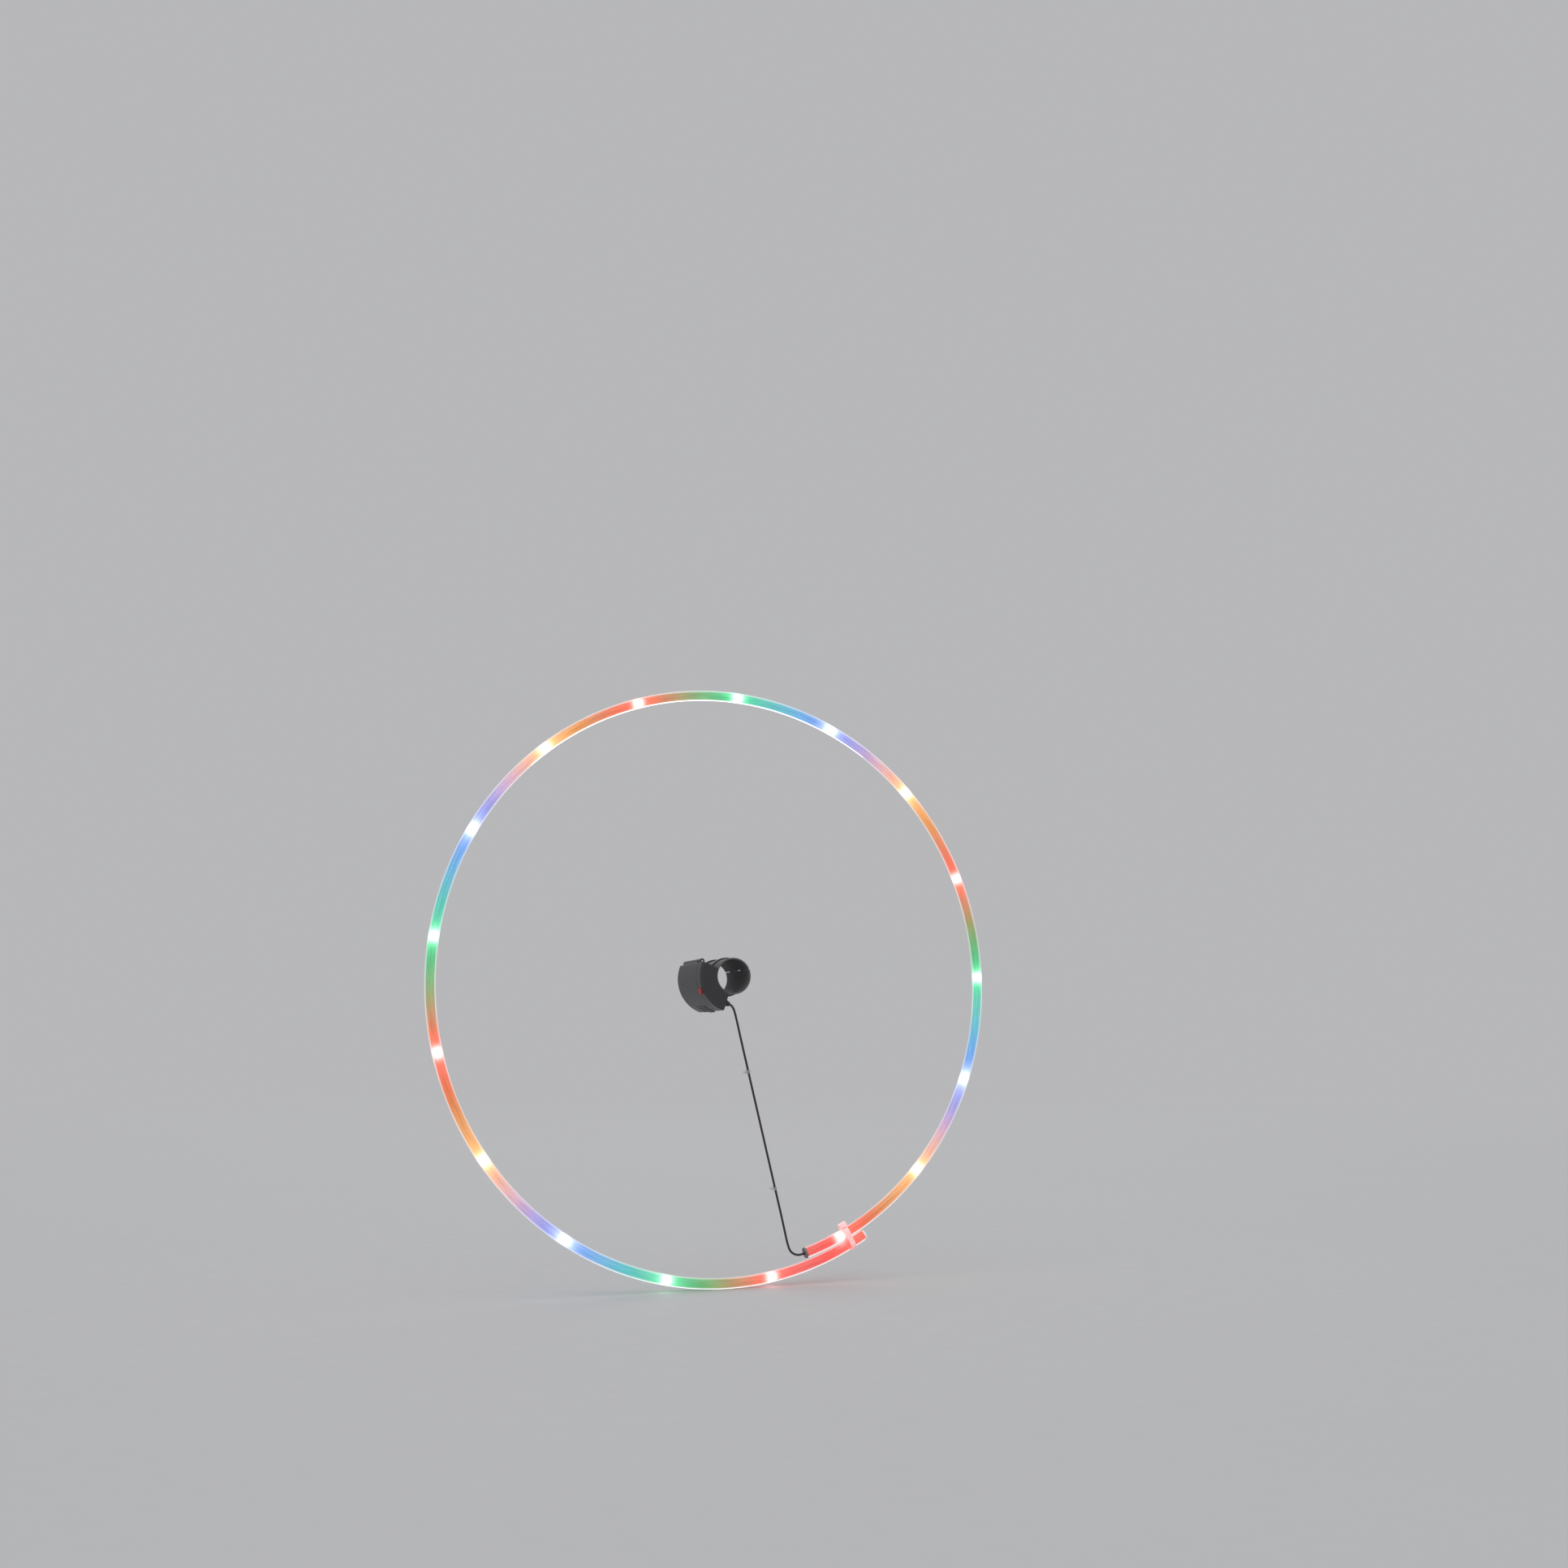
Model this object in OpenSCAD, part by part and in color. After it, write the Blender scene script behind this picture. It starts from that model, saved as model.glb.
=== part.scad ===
/* [Light tube] */
// Radius of the ring that the tube's centre line follows
ring_r = 261.5; // [240:0.5:300]
// Outside diameter of the clear tube
tube_d = 9.5; // [9:0.1:11]
// Bore of the clear tube
tube_bore = 6.4; // [6:0.1:7]
// How far the closed end springs out of the ring
end_spread = 4.5; // [4:0.5:8]
// How far the lead end tucks in beside the closed end
end_tuck = 7; // [6.5:0.5:12]
// Distance from the closed end to the first light
led_first = 96; // [85:1:110]
// Distance from the last light to the lead end
led_last = 35; // [30:1:50]
// Length of the plug in each end of the tube
plug_len = 8; // [6:0.5:12]
// Thickness of the lip outside each end of the tube
plug_lip = 1.6; // [1:0.1:3]

/* [Light string] */
// Diameter of each string wire
wire_d = 0.7; // [0.5:0.05:0.9]
// Distance between the two wires' centre lines
wire_gap = 1.8; // [1.6:0.1:2]
// Belly diameter of the resin bead over each light
bead_d = 4.8; // [4.4:0.1:5.2]
// Length of the resin bead over each light
bead_len = 6.5; // [5.5:0.1:8]
// End diameter of the resin bead
bead_end_d = 3; // [2.9:0.1:3.4]
// Length of each light chip along the wires
chip_len = 1.8; // [1.2:0.1:2.4]
// Thickness of each light chip
chip_t = 0.7; // [0.4:0.1:0.9]

/* [Join tie] */
// Distance of the tie from the closed end
join_at = 14; // [10:1:30]
// Width of the tie's band
join_w = 4.6; // [3.6:0.1:6]
// Thickness of the tie's band
join_t = 1.1; // [0.8:0.1:1.4]
// Length of the tie's head across the tubes
join_head = 6.4; // [5:0.1:8]
// Height of the tie's head above the band
join_head_h = 4.2; // [3:0.1:6]

/* [Mount] */
// Radius of the round bar that the pack is strapped to
hub_r = 15; // [13:0.5:18]
// Thickness of the rubber sleeve on the bar
sleeve_t = 1.2; // [0.8:0.1:2]
// Width of each tie around the sleeve
hub_tie_w = 4.8; // [3.6:0.1:6]
// Thickness of each tie around the sleeve
hub_tie_t = 1.2; // [1:0.1:1.6]
// Distance between the two ties around the sleeve
hub_tie_step = 28; // [24:1:34]
// Height of the head of each tie around the sleeve
hub_tie_head = 4.6; // [3:0.1:6]
// Direction of the pack from the ring's axis
pack_dir = -155; // [-160:1:-150]

/* [Battery pack] */
// Diameter of each cell
cell_d = 10.5; // [10:0.1:11]
// Length of each cell with its button
cell_len = 44.5; // [43:0.1:46]
// Space between neighbouring cells
cell_gap = 0.9; // [0.6:0.1:1.5]
// Length left for each contact spring
spring_len = 4.6; // [4.2:0.1:6]
// Thickness of the case floor over the tie grooves
floor_t = 1.4; // [1:0.1:2]
// Thickness of the case walls
wall = 1.8; // [1.4:0.1:2.4]
// Thickness of the wall between cells and circuit board
divider_t = 1.4; // [1.2:0.1:2]
// Length of the circuit board bay
bay_len = 8.6; // [8.6:0.1:10]
// Thickness of the battery door and the bay cover
door_t = 1.8; // [1.4:0.1:2.4]
// Radius of the hinge knuckles
knuckle_r = 2.2; // [1.8:0.1:2.6]
// Radius of the hinge pin
pin_r = 0.8; // [0.6:0.05:1]
// Length of the door's thumb tab
tab_len = 2; // [1:0.1:3]
// Bevel along the outer edges of the door, the cover and the case
edge_cut = 0.7; // [0.4:0.1:0.9]
// Bevel where the door meets the cover and the case
seam_cut = 0.3; // [0.2:0.05:0.5]

/* [Button] */
// Radius of the button's cap
button_r = 2.9; // [2.5:0.1:3.1]
// Width of the flange that keeps the button in the cover
button_flange = 0.8; // [0.6:0.1:0.9]
// Height of the cap above the cover
button_rise = 1.4; // [1:0.1:2]
// Travel of the button
button_travel = 0.8; // [0.5:0.1:1]

/* [Lead] */
// Diameter of the lead from the pack to the tube
lead_d = 2; // [1.6:0.1:2]
// Radius of the rod that the lead is tied to
spoke_r = 1; // [0.9:0.05:1.2]
// Width of each lead tie
lead_tie_w = 2.5; // [2:0.1:3.6]
// Thickness of each lead tie
lead_tie_t = 0.9; // [0.7:0.1:1.2]

/* [Fits] */
// Gap between fixed pieces that slip together
slip = 0.1; // [0.05:0.01:0.12]
// Gap between pieces that nearly touch
touch = 0.03; // [0.02:0.01:0.05]
// Gap around pieces that move past each other
clear = 0.3; // [0.25:0.01:0.35]
// Running gap around the hinge pin
pin_gap = 0.05; // [0.03:0.01:0.08]

/* [Hidden] */
$fn = 64;
led_count = 17;
led_colors = ["red", "green", "blue", "yellow"];
led_tints = ["tomato", "limegreen", "royalblue", "gold"];

// The tube is a half circle over the ring's axis and two arcs that carry on below it: the closed end's
// on the left and the lead end's on the right, seen from the near side
closed_sweep = 120;
lead_sweep = 73;

// The lead leaves the circuit board bay by these points, and bends into the tube by points measured
// from the tube's end: out of it, in depth, and towards the ring's axis. Between them it runs straight
hub_bend = [
    [-11, -25.5, -22], [-5, -25.5, -24], [-2, -25.5, -25], [0, -25.5, -26.4],
    [1.5, -25.4, -28.6], [3, -25, -32]
];
rim_bend = [
    [15, -1, 11], [14.2, -0.5, 6.8], [11.8, 0, 3.2], [8.2, 0, 0.8], [4, 0, 0], [-10, 0, 0]
];
spoke_steps = 8;
lead_tie_points = [7, 11];
lead_sides = 8;

function unit(v) = v / norm(v);
function arc_deg(length, r) = length / r * 180 / PI;
function toward(a) = [cos(a), sin(a)];

// The arcs meet level with the ring's axis, in line: each centre is level with it too
arc_r = [ring_r + end_spread, ring_r, ring_r - end_tuck];
arc_c = [[end_spread, 0], [0, 0], [end_tuck, 0]];
arc_sweep = [closed_sweep, 180, lead_sweep];
arc_len = [for (i = [0:2]) arc_r[i] * arc_sweep[i] * PI / 180];
arc_s = [0, arc_len[0], arc_len[0] + arc_len[1], arc_len[0] + arc_len[1] + arc_len[2]];
tube_len = arc_s[3];
function arc_of(s) = s < arc_s[1] ? 0 : s < arc_s[2] ? 1 : 2;
function angle_at(i, s) =
    i == 0 ? 180 + arc_deg(arc_s[1] - s, arc_r[0]) : arc_deg(arc_s[2] - s, arc_r[i]);

lead_end_way = toward(angle_at(2, tube_len));
lead_end_at = [arc_c[2].x + arc_r[2] * lead_end_way.x, 0, arc_r[2] * lead_end_way.y];
function from_lead_end(p) = lead_end_at + [
    p.x * lead_end_way.y - p.z * lead_end_way.x, p.y, -p.x * lead_end_way.x - p.z * lead_end_way.y
];
spoke_from = hub_bend[len(hub_bend) - 1];
spoke_to = from_lead_end(rim_bend[0]);
lead_route = concat(
    hub_bend,
    [for (j = [1:spoke_steps - 1]) spoke_from + (spoke_to - spoke_from) * j / spoke_steps],
    [for (p = rim_bend) from_lead_end(p)]
);

led_step = (tube_len - led_first - led_last) / (led_count - 1);
function led_at(i) = led_first + led_step * i;
function led_name(i) = str("led_", i < 9 ? "0" : "", i + 1);
wire_past = 5;
lead_in = 10.4;
bead_curve = (pow(bead_len / 2, 2) + pow((bead_d - bead_end_d) / 2, 2)) / (bead_d - bead_end_d);

// Radii of the pack, outwards from the ring's axis
seat_r = hub_r + sleeve_t;
groove_r = seat_r + hub_tie_t + slip;
floor_r = groove_r + floor_t;
cell_r = floor_r + clear + cell_d / 2;
rim_r = cell_r + cell_d / 2 + clear;
gasket_top = rim_r + touch;
door_r = rim_r + 2 * slip;
skin_r = door_r + door_t;

// Angles of the pack, either way from its middle
strip_room = 1.2;
cell_step = 2 * asin((cell_d + cell_gap) / (2 * cell_r));
wall_in = cell_step + asin((cell_d / 2 + strip_room) / cell_r);
wall_out = wall_in + arc_deg(wall, floor_r);

// Lengths of the pack along the ring's axis, with the bay around the lead's entry
plate_t = 0.4;
bay_z = -lead_route[0].y;
bay_lo = bay_z - bay_len / 2;
bay_hi = bay_z + bay_len / 2;
near_z = bay_hi + wall;
cells_hi = bay_lo - divider_t;
cell_room = cell_len + spring_len + 2 * plate_t + touch;
cells_lo = cells_hi - cell_room;
cells_mid = (cells_hi + cells_lo) / 2;
gasket_w = 0.7;
gasket_depth = 0.8;
lid_split = cells_hi + gasket_w + 3 * slip;
door_lo = cells_lo - gasket_w - 2 * slip;
door_hi = lid_split - clear / 2;

// The case's far rim stands past the door, with room for its two bevels
far_rim = edge_cut + seam_cut + wall / 2;
far_z = door_lo - clear - far_rim;

// The hinge stands off the side wall, level with the case's rim
hinge_off = knuckle_r + clear;
hinge_drop = 1;
hinge_r = rim_r - hinge_drop;
hinge_body_len = 6;
hinge_margin = 2;
hinge_lo = door_lo + hinge_margin;
hinge_hi = door_hi - hinge_margin;

// The circuit board and what stands on it
board_lift = 1.6;
board_y = floor_r + board_lift;
board_t = 1;
board_left = -13;
board_right = board_y * tan(wall_in) - (plate_t + 2 * touch) / cos(wall_in) - slip;
board_set = 1.9;
board_lo = bay_lo + board_set;
board_hi = bay_hi - clear;
post_w = 2;
left_post = -8.5;
right_post = 9;
switch_w = 4.5;
switch_h = 3.2;
switch_top = board_y + board_t + switch_h;
stem_r = 1.2;
stem_rise = 1.2;
stem_sunk = 1;
stem_lo = switch_top - stem_sunk;
stem_top = switch_top + stem_rise;
flange_r = button_r + button_flange;
flange_top = sqrt(pow(rim_r, 2) - pow(flange_r, 2)) - clear;
flange_t = 1.2;

// Contact plates and springs
plate_half_a = 7.5;
plate_half_w = 3.5;
spring_r = 2.6;
spring_wire_r = 0.25;
spring_turns = 3.5;
spring_rings = 8;
spring_sides = 6;
strip_w = 2.5;
strip_lo = cell_r + strip_room;
strip_hi = strip_lo + strip_w;
tab_shift_a = 2;
tab_a = tab_shift_a - cell_step;
tab_w_a = 4;
tab_h = 1.6;
core_d = 0.8;

// Stands the ring's plane upright, with its near side towards -Y
module upright() {
    rotate([90, 0, 0]) children();
}

// Sweeps a flat profile along the tube, from one distance to another, each arc from where it meets
// the half circle
module along_tube(from, to) {
    for (i = [0:2]) {
        lo = i == 0 ? from : max(from, arc_s[i]);
        hi = i == 2 ? to : min(to, arc_s[i + 1]);
        if (hi > lo)
            translate(arc_c[i])
                mirror([0, i == 2 ? 1 : 0, 0])
                    rotate(i == 2 ? -angle_at(i, lo) : angle_at(i, hi))
                        rotate_extrude(angle = arc_deg(hi - lo, arc_r[i]))
                            translate([arc_r[i], 0]) children();
    }
}

// Places a piece on the tube: X away from the ring's axis, Y along the tube, Z to the near side
module at_tube(s) {
    i = arc_of(s);
    translate(arc_c[i]) rotate(angle_at(i, s)) translate([arc_r[i], 0, 0]) children();
}

// Points Z from one place towards another
module along(from, to) {
    way = unit(to - from);
    translate(from) rotate([0, acos(way.z), atan2(way.y, way.x)]) children();
}

// Turns the pack's own frame to its place around the bar: Y outwards, Z to the near side
module on_hub() {
    upright() rotate(pack_dir - 90) children();
}

// A plate bent around the ring's axis, between two radii, two angles and two lengths
module bent_plate(r_in, r_out, a_from, a_to, z_from, z_to) {
    rotate(90 - a_to)
        rotate_extrude(angle = a_to - a_from)
            translate([r_in, z_from]) square([r_out - r_in, z_to - z_from]);
}

// An outer skin of the pack between two lengths, with bevelled long edges and ends
module skin_plate(r_in, z_from, z_to, cut_from, cut_to) {
    cut_w = sqrt(2) * edge_cut;
    difference() {
        rotate(90 - wall_out) rotate_extrude(angle = 2 * wall_out) polygon([
            [r_in, z_from], [skin_r - cut_from, z_from], [skin_r, z_from + cut_from],
            [skin_r, z_to - cut_to], [skin_r - cut_to, z_to], [r_in, z_to]
        ]);
        for (side = [0, 1]) mirror([side, 0, 0]) at_wall(wall_out, skin_r) rotate(45)
            translate([-cut_w / 2, -cut_w / 2, z_from - slip]) cube([cut_w, cut_w, z_to - z_from + 2 * slip]);
    }
}

// The flat side wall's own frame: X out of the wall, Y away from the ring's axis
module at_wall(a, r) {
    rotate(-a) translate([0, r, 0]) children();
}

// An oval band of two half rings and two straight runs
module oval_band(r, thick, width, span) {
    for (end = [0, 1])
        translate([end * span, 0, 0])
            rotate(end == 0 ? 90 : -90)
                rotate_extrude(angle = 180)
                    translate([r, -width / 2]) square([thick, width]);
    for (side = [-1, 1])
        translate([0, side == 1 ? r : -r - thick, -width / 2]) cube([span, thick, width]);
}

// A tube of small flat sides along a list of points that never run along the axis
function ring_frame(points, i, axis) =
    let (
        last = len(points) - 1,
        way = unit(points[min(i + 1, last)] - points[max(i - 1, 0)]),
        across = unit(cross(way, axis))
    ) [across, cross(across, way)];
function tube_points(points, r, sides, axis) = [
    for (i = [0:len(points) - 1])
        let (frame = ring_frame(points, i, axis))
        for (k = [0:sides - 1])
            points[i] + r * (cos(360 * k / sides) * frame[0] + sin(360 * k / sides) * frame[1])
];
function tube_faces(rings, sides) = concat(
    [for (k = [1:sides - 2]) [0, k, k + 1]],
    [for (k = [1:sides - 2]) [for (n = [0, k + 1, k]) (rings - 1) * sides + n]],
    [for (i = [0:rings - 2], k = [0:sides - 1], half = [0, 1])
        let (a = i * sides + k, b = i * sides + (k + 1) % sides)
        half == 0 ? [a, b + sides, b] : [a, a + sides, b + sides]]
);
module round_cord(points, r, sides, axis) {
    polyhedron(tube_points(points, r, sides, axis), tube_faces(len(points), sides));
}

module light_tube() {
    color("lightcyan", 0.5) upright() along_tube(0, tube_len)
        difference() {
            circle(d = tube_d);
            circle(d = tube_bore);
        }
}

module wire_run(side, from, to, extra) {
    along_tube(from, to) translate([0, side * wire_gap / 2]) circle(d = wire_d + 2 * extra);
}

module string_wire(side) {
    color("silver") upright() wire_run(side, led_first - wire_past, tube_len - lead_in, 0);
}

module chip_box(extra) {
    chip_w = wire_gap + wire_d;
    translate([wire_d / 2 + touch - extra, -chip_len / 2 - extra, -chip_w / 2 - extra])
        cube([chip_t + 2 * extra, chip_len + 2 * extra, chip_w + 2 * extra]);
}

module bead() {
    rotate([-90, 0, 0]) rotate_extrude() intersection() {
        translate([bead_d / 2 - bead_curve, 0]) circle(bead_curve);
        translate([0, -bead_len / 2]) square([bead_d, bead_len]);
    }
}

module led(i) {
    color(led_tints[i % 4], 0.8) upright() difference() {
        at_tube(led_at(i)) bead();
        at_tube(led_at(i)) chip_box(touch);
        for (side = [-1, 1]) wire_run(side, led_at(i) - bead_len, led_at(i) + bead_len, touch);
    }
}

module chips(tint) {
    color("ivory") upright()
        for (i = [tint:4:led_count - 1]) at_tube(led_at(i)) chip_box(0);
}

// A plug's lip and its shank, at the closed end or at the lead end
module plug_shape(lip_from, lip_to, shank_from, shank_to) {
    along_tube(lip_from, lip_to) circle(d = tube_d);
    along_tube(shank_from, shank_to) circle(d = tube_bore - 2 * touch);
}

module closed_plug() {
    color("whitesmoke") upright() plug_shape(-plug_lip, 0, -plug_lip / 2, plug_len);
}

module lead_plug() {
    last = len(lead_route) - 1;
    color("dimgray") difference() {
        upright() plug_shape(
            tube_len, tube_len + plug_lip, tube_len - plug_len, tube_len + plug_lip / 2
        );
        along(lead_route[last - 1], lead_route[last])
            cylinder(d = lead_d + 2 * slip, h = 3 * plug_len);
    }
}

// Distance from the closed end's centre line in to the lead end's, across the tie
join_i = arc_of(join_at);
join_way = toward(angle_at(join_i, join_at));
join_from = arc_c[join_i] + arc_r[join_i] * join_way - arc_c[2];
join_drop = join_from * join_way;
join_span = join_drop - sqrt(pow(join_drop, 2) - join_from * join_from + pow(arc_r[2], 2));

module join_tie() {
    band_r = tube_d / 2 + slip;
    head_x = -join_span - band_r - join_t / 2;
    color("aliceblue", 0.6) upright() at_tube(join_at) rotate([90, 0, 0]) {
        translate([-join_span, 0, 0]) oval_band(band_r, join_t, join_w, join_span);
        difference() {
            translate([head_x, 0, -join_w / 2 - join_t]) linear_extrude(join_w + 2 * join_t) polygon([
                [0, -join_head / 2], [0, join_head / 2],
                [-join_head_h, join_head / 2 - join_t], [-join_head_h, join_t - join_head / 2]
            ]);
            translate([head_x - join_head_h - slip, -join_t / 2, -join_w / 2])
                cube([join_head_h / 2, join_t, join_w]);
        }
        translate([head_x - join_head_h / 2, join_head / 2 - join_t, -join_w / 2])
            cube([join_t, 2 * join_t, join_w]);
    }
}

module lead() {
    color("black") round_cord(lead_route, lead_d / 2, lead_sides, [0, 1, 0]);
}

// Each lead tie holds the lead against a rod beside it
module lead_tie(k) {
    at = lead_tie_points[k];
    band_r = spoke_r + touch;
    span = lead_d / 2 + spoke_r + 2 * touch;
    head = 3 * lead_tie_t;
    color("whitesmoke", 0.8) along(lead_route[at], lead_route[at + 1]) {
        oval_band(band_r, lead_tie_t, lead_tie_w, span);
        translate([span / 2 - head / 2, band_r + lead_tie_t / 2, -lead_tie_w / 2 - lead_tie_t / 2])
            cube([head, head, lead_tie_w + lead_tie_t]);
    }
}

// How deep the lead's start lies behind the radial face at an angle
to_pack = 90 - pack_dir;
lead_start = [
    lead_route[0].x * cos(to_pack) - lead_route[0].z * sin(to_pack),
    lead_route[0].x * sin(to_pack) + lead_route[0].z * cos(to_pack)
];
function depth_behind(a) = lead_start * [cos(a), sin(a)];
grommet_t = 1.3;
grommet_r = lead_d / 2 + grommet_t;
boot_lip = 1;
boot_rings = 3;
boot_taper = 0.5;
boot_notch = 0.5;
boot_len = 5.4;
boot_step = boot_len / boot_rings;
grommet_from = depth_behind(wall_in);
grommet_to = depth_behind(wall_out) + slip;

module at_gland() {
    along(lead_route[0], lead_route[1]) children();
}

module lead_grommet() {
    color("black") at_gland() difference() {
        union() {
            translate([0, 0, grommet_from])
                cylinder(r = grommet_r - touch, h = grommet_to + slip - grommet_from);
            for (k = [0:boot_rings - 1]) boot_ring(k);
        }
        cylinder(r = lead_d / 2 + touch, h = grommet_to + 2 * boot_len);
    }
}

// Each ring of the boot is a cone that ends in a notch
module boot_ring(k) {
    foot_r = grommet_r + boot_lip - k * boot_taper;
    translate([0, 0, grommet_to + k * boot_step]) {
        cylinder(r1 = foot_r, r2 = foot_r - boot_taper, h = boot_step - boot_notch);
        cylinder(r = foot_r - 2 * boot_taper, h = boot_step + (k < boot_rings - 1 ? slip : 0));
    }
}

// Two cores run from the lead's start to the underside of the board
module lead_cores() {
    from = lead_start + [core_d / 2, core_d / 2];
    to = [board_left + 2 * core_d, board_y - core_d / 2 - touch];
    color("firebrick") on_hub() for (side = [-1, 1])
        along([from.x, from.y, bay_z + side * core_d], [to.x, to.y, bay_z + side * core_d])
            cylinder(d = core_d, h = norm(to - from));
}

module hub_sleeve() {
    split_a = 3;
    color("dimgray") on_hub() rotate(split_a / 2 - 90) rotate_extrude(angle = 360 - split_a)
        translate([hub_r, cells_lo]) square([sleeve_t, bay_hi - cells_lo]);
}

function hub_tie_z(k) = cells_mid + (k - 0.5) * hub_tie_step;

module hub_tie(k) {
    head_w = hub_tie_w + 2 * hub_tie_t;
    band_out = seat_r + touch + hub_tie_t;
    color("black") on_hub() translate([0, 0, hub_tie_z(k)]) {
        rotate_extrude() translate([seat_r + touch, -hub_tie_w / 2]) square([hub_tie_t, hub_tie_w]);
        difference() {
            translate([0, 0, -head_w / 2]) linear_extrude(head_w) polygon([
                [-head_w / 2, hub_tie_t / 2 - band_out], [head_w / 2, hub_tie_t / 2 - band_out],
                [head_w / 2 - hub_tie_t, -band_out - hub_tie_head],
                [hub_tie_t - head_w / 2, -band_out - hub_tie_head]
            ]);
            translate([-hub_tie_t / 2, -band_out - hub_tie_head - slip, -hub_tie_w / 2])
                cube([hub_tie_t, hub_tie_head / 2, hub_tie_w]);
        }
        translate([head_w / 2 - hub_tie_t, -band_out - hub_tie_head / 2, -hub_tie_w / 2])
            cube([3 * hub_tie_t, hub_tie_t, hub_tie_w]);
    }
}

module case_body() {
    color("black") difference() {
        on_hub() difference() {
            union() {
                bent_plate(seat_r, rim_r, -wall_out, wall_out, far_z, near_z);
                skin_plate(rim_r - wall, far_z, far_z + far_rim, edge_cut, seam_cut);
                for (z = [hinge_lo, hinge_hi - hinge_body_len]) body_knuckle(z);
            }
            bent_plate(floor_r, skin_r, -wall_in, wall_in, cells_lo, cells_hi);
            difference() {
                bent_plate(floor_r, skin_r, -wall_in, wall_in, bay_lo, bay_hi);
                board_post(left_post);
                board_post(right_post);
            }
            for (k = [0, 1]) tie_groove(hub_tie_z(k));
            gasket_shape(rim_r - gasket_depth, skin_r, touch);
            plus_tab(slip);
            minus_strip(slip);
            translate([0, 0, hinge_lo]) at_hinge()
                translate([0, 0, -slip]) cylinder(r = pin_r + touch, h = hinge_hi - hinge_lo + 2 * slip);
        }
        at_gland() cylinder(r = grommet_r, h = grommet_to + boot_len);
    }
}

module tie_groove(z) {
    groove_w = hub_tie_w + 2 * slip;
    translate([0, 0, z]) rotate_extrude()
        translate([seat_r - slip, -groove_w / 2]) square([groove_r - seat_r + slip, groove_w]);
}

// A post under the board, from below the curved floor
module board_post(x) {
    foot = sqrt(pow(floor_r, 2) - pow(abs(x) + post_w, 2)) - 2 * slip;
    translate([x, foot, bay_z]) cube([post_w, board_y - foot, bay_hi - bay_z]);
}

// The hinge's own frame: its axis along Z, beside the side wall
module at_hinge() {
    at_wall(wall_out, hinge_r) translate([hinge_off, 0, 0]) children();
}

module body_knuckle(z) {
    translate([0, 0, z]) at_hinge() {
        cylinder(r = knuckle_r, h = hinge_body_len);
        translate([-hinge_off - wall / 2, -knuckle_r, 0])
            cube([hinge_off + wall / 2, knuckle_r, hinge_body_len]);
    }
}

module battery_door() {
    knuckle_lo = hinge_lo + hinge_body_len + clear;
    knuckle_len = hinge_hi - hinge_lo - 2 * hinge_body_len - 2 * clear;
    arm_lo = door_r - hinge_r;
    tab_w = 12;
    rib_a = 1.8;
    rib_h = 0.5;
    color("black") on_hub() difference() {
        union() {
            skin_plate(door_r, door_lo, door_hi, seam_cut, seam_cut);
            translate([0, 0, knuckle_lo]) at_hinge() {
                cylinder(r = knuckle_r, h = knuckle_len);
                translate([-hinge_off - wall / 2, arm_lo, 0])
                    cube([hinge_off + wall / 2, knuckle_r - arm_lo, knuckle_len]);
            }
            mirror([1, 0, 0]) at_wall(wall_out, door_r)
                translate([-wall / 2, 0, cells_mid - tab_w / 2])
                    cube([wall / 2 + tab_len, door_t, tab_w]);
            for (k = [0:4])
                bent_plate(
                    skin_r - slip, skin_r + rib_h,
                    (2 * k + 1) * rib_a - wall_out, (2 * k + 2) * rib_a - wall_out,
                    cells_mid - tab_w, cells_mid + tab_w
                );
        }
        translate([0, 0, knuckle_lo - slip]) at_hinge()
            cylinder(r = pin_r + pin_gap, h = knuckle_len + 2 * slip);
    }
}

module hinge_pin() {
    color("silver") on_hub() translate([0, 0, hinge_lo]) at_hinge()
        cylinder(r = pin_r, h = hinge_hi - hinge_lo);
}

// A frame around the cells' opening, set in the case's rim
module gasket_shape(r_in, r_out, extra) {
    in_a = wall_in + arc_deg(slip - extra, rim_r);
    out_a = in_a + arc_deg(gasket_w + 2 * extra, rim_r);
    difference() {
        bent_plate(
            r_in - extra, r_out, -out_a, out_a,
            cells_lo - slip - gasket_w - extra, cells_hi + slip + gasket_w + extra
        );
        bent_plate(
            r_in - gasket_depth, r_out + gasket_depth, -in_a, in_a,
            cells_lo - slip + extra, cells_hi + slip - extra
        );
    }
}

module door_gasket() {
    color("orangered") on_hub() gasket_shape(rim_r - gasket_depth, gasket_top, 0);
}

module bay_cover() {
    color("black") on_hub() difference() {
        skin_plate(rim_r + touch, lid_split + clear / 2, near_z, seam_cut, edge_cut);
        translate([0, 0, bay_z]) rotate([-90, 0, 0]) cylinder(r = button_r + clear, h = 2 * skin_r);
    }
}

// A cell's own frame, with its plus end up: the middle cell is the other way round
module at_cell(i) {
    rotate(-(i - 1) * cell_step) translate([0, cell_r, cells_mid])
        mirror([0, 0, i == 1 ? 1 : 0]) children();
}

module cell(i) {
    nub_r = 1.9;
    nub_h = 1;
    top = cell_room / 2 - plate_t - touch;
    color("darkseagreen") on_hub() at_cell(i) {
        translate([0, 0, top - cell_len]) cylinder(d = cell_d, h = cell_len - nub_h);
        translate([0, 0, top - 2 * nub_h]) cylinder(r = nub_r, h = 2 * nub_h);
    }
}

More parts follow.
